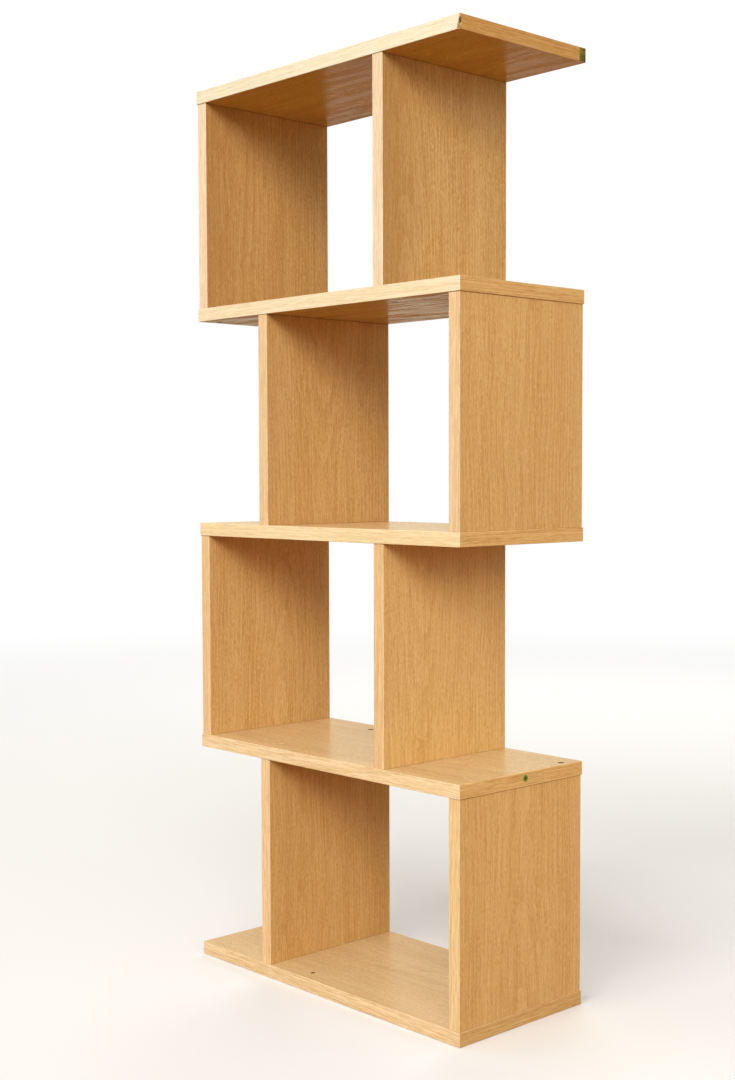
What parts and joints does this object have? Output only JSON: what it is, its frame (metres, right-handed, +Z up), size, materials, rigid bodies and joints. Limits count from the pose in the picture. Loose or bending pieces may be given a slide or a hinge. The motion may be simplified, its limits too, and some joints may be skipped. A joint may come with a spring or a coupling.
{
  "type": "open bookcase",
  "caption": "Free-standing open bookcase of oak-effect boards on staggered uprights that step from side to side, leaving bays open front and back and ledges at the sides.",
  "frame": {"origin": "centre of the base board's underside, on the floor", "axes": "+X along the boards, from the left end to the right end as seen from the front; +Y from front to back; +Z up"},
  "size_m": [0.625, 0.28, 1.5],
  "materials": {
    "oak_face": "satin oak-effect face with fine straight grain",
    "oak_edging": "satin oak-effect edging, paler than the faces",
    "screw_steel": "zinc-plated",
    "beech_dowel": "bare beech",
    "brown_cap": "matte moulded cap"
  },
  "bodies": {
    "root": {"base_board": "oak_face", "base_board_back_edging": "oak_edging", "base_board_front_edging": "oak_edging", "base_board_left_edging": "oak_edging", "base_board_right_edging": "oak_edging", "bottom_tier_dowels": "beech_dowel", "bottom_tier_left_upright": "oak_face", "bottom_tier_left_upright_back_edging": "oak_edging", "bottom_tier_left_upright_front_edging": "oak_edging", "bottom_tier_right_upright": "oak_face", "bottom_tier_right_upright_back_edging": "oak_edging", "bottom_tier_right_upright_front_edging": "oak_edging", "bottom_tier_screws": "screw_steel", "lower_shelf": "oak_face", "lower_shelf_back_edging": "oak_edging", "lower_shelf_front_edging": "oak_edging", "lower_shelf_left_edging": "oak_edging", "lower_shelf_right_edging": "oak_edging", "lower_tier_dowels": "beech_dowel", "lower_tier_left_upright": "oak_face", "lower_tier_left_upright_back_edging": "oak_edging", "lower_tier_left_upright_front_edging": "oak_edging", "lower_tier_right_upright": "oak_face", "lower_tier_right_upright_back_edging": "oak_edging", "lower_tier_right_upright_front_edging": "oak_edging", "lower_tier_screws": "screw_steel", "middle_shelf": "oak_face", "middle_shelf_back_edging": "oak_edging", "middle_shelf_front_edging": "oak_edging", "middle_shelf_left_edging": "oak_edging", "middle_shelf_right_edging": "oak_edging", "top_board": "oak_face", "top_board_back_edging": "oak_edging", "top_board_front_edging": "oak_edging", "top_board_left_edging": "oak_edging", "top_board_right_edging": "oak_edging", "top_tier_dowels": "beech_dowel", "top_tier_left_upright": "oak_face", "top_tier_left_upright_back_edging": "oak_edging", "top_tier_left_upright_front_edging": "oak_edging", "top_tier_right_upright": "oak_face", "top_tier_right_upright_back_edging": "oak_edging", "top_tier_right_upright_front_edging": "oak_edging", "top_tier_screws": "screw_steel", "under_face_caps": "brown_cap", "upper_face_caps": "brown_cap", "upper_shelf": "oak_face", "upper_shelf_back_edging": "oak_edging", "upper_shelf_front_edging": "oak_edging", "upper_shelf_left_edging": "oak_edging", "upper_shelf_right_edging": "oak_edging", "upper_tier_dowels": "beech_dowel", "upper_tier_left_upright": "oak_face", "upper_tier_left_upright_back_edging": "oak_edging", "upper_tier_left_upright_front_edging": "oak_edging", "upper_tier_right_upright": "oak_face", "upper_tier_right_upright_back_edging": "oak_edging", "upper_tier_right_upright_front_edging": "oak_edging", "upper_tier_screws": "screw_steel"}
  },
  "joints": []
}
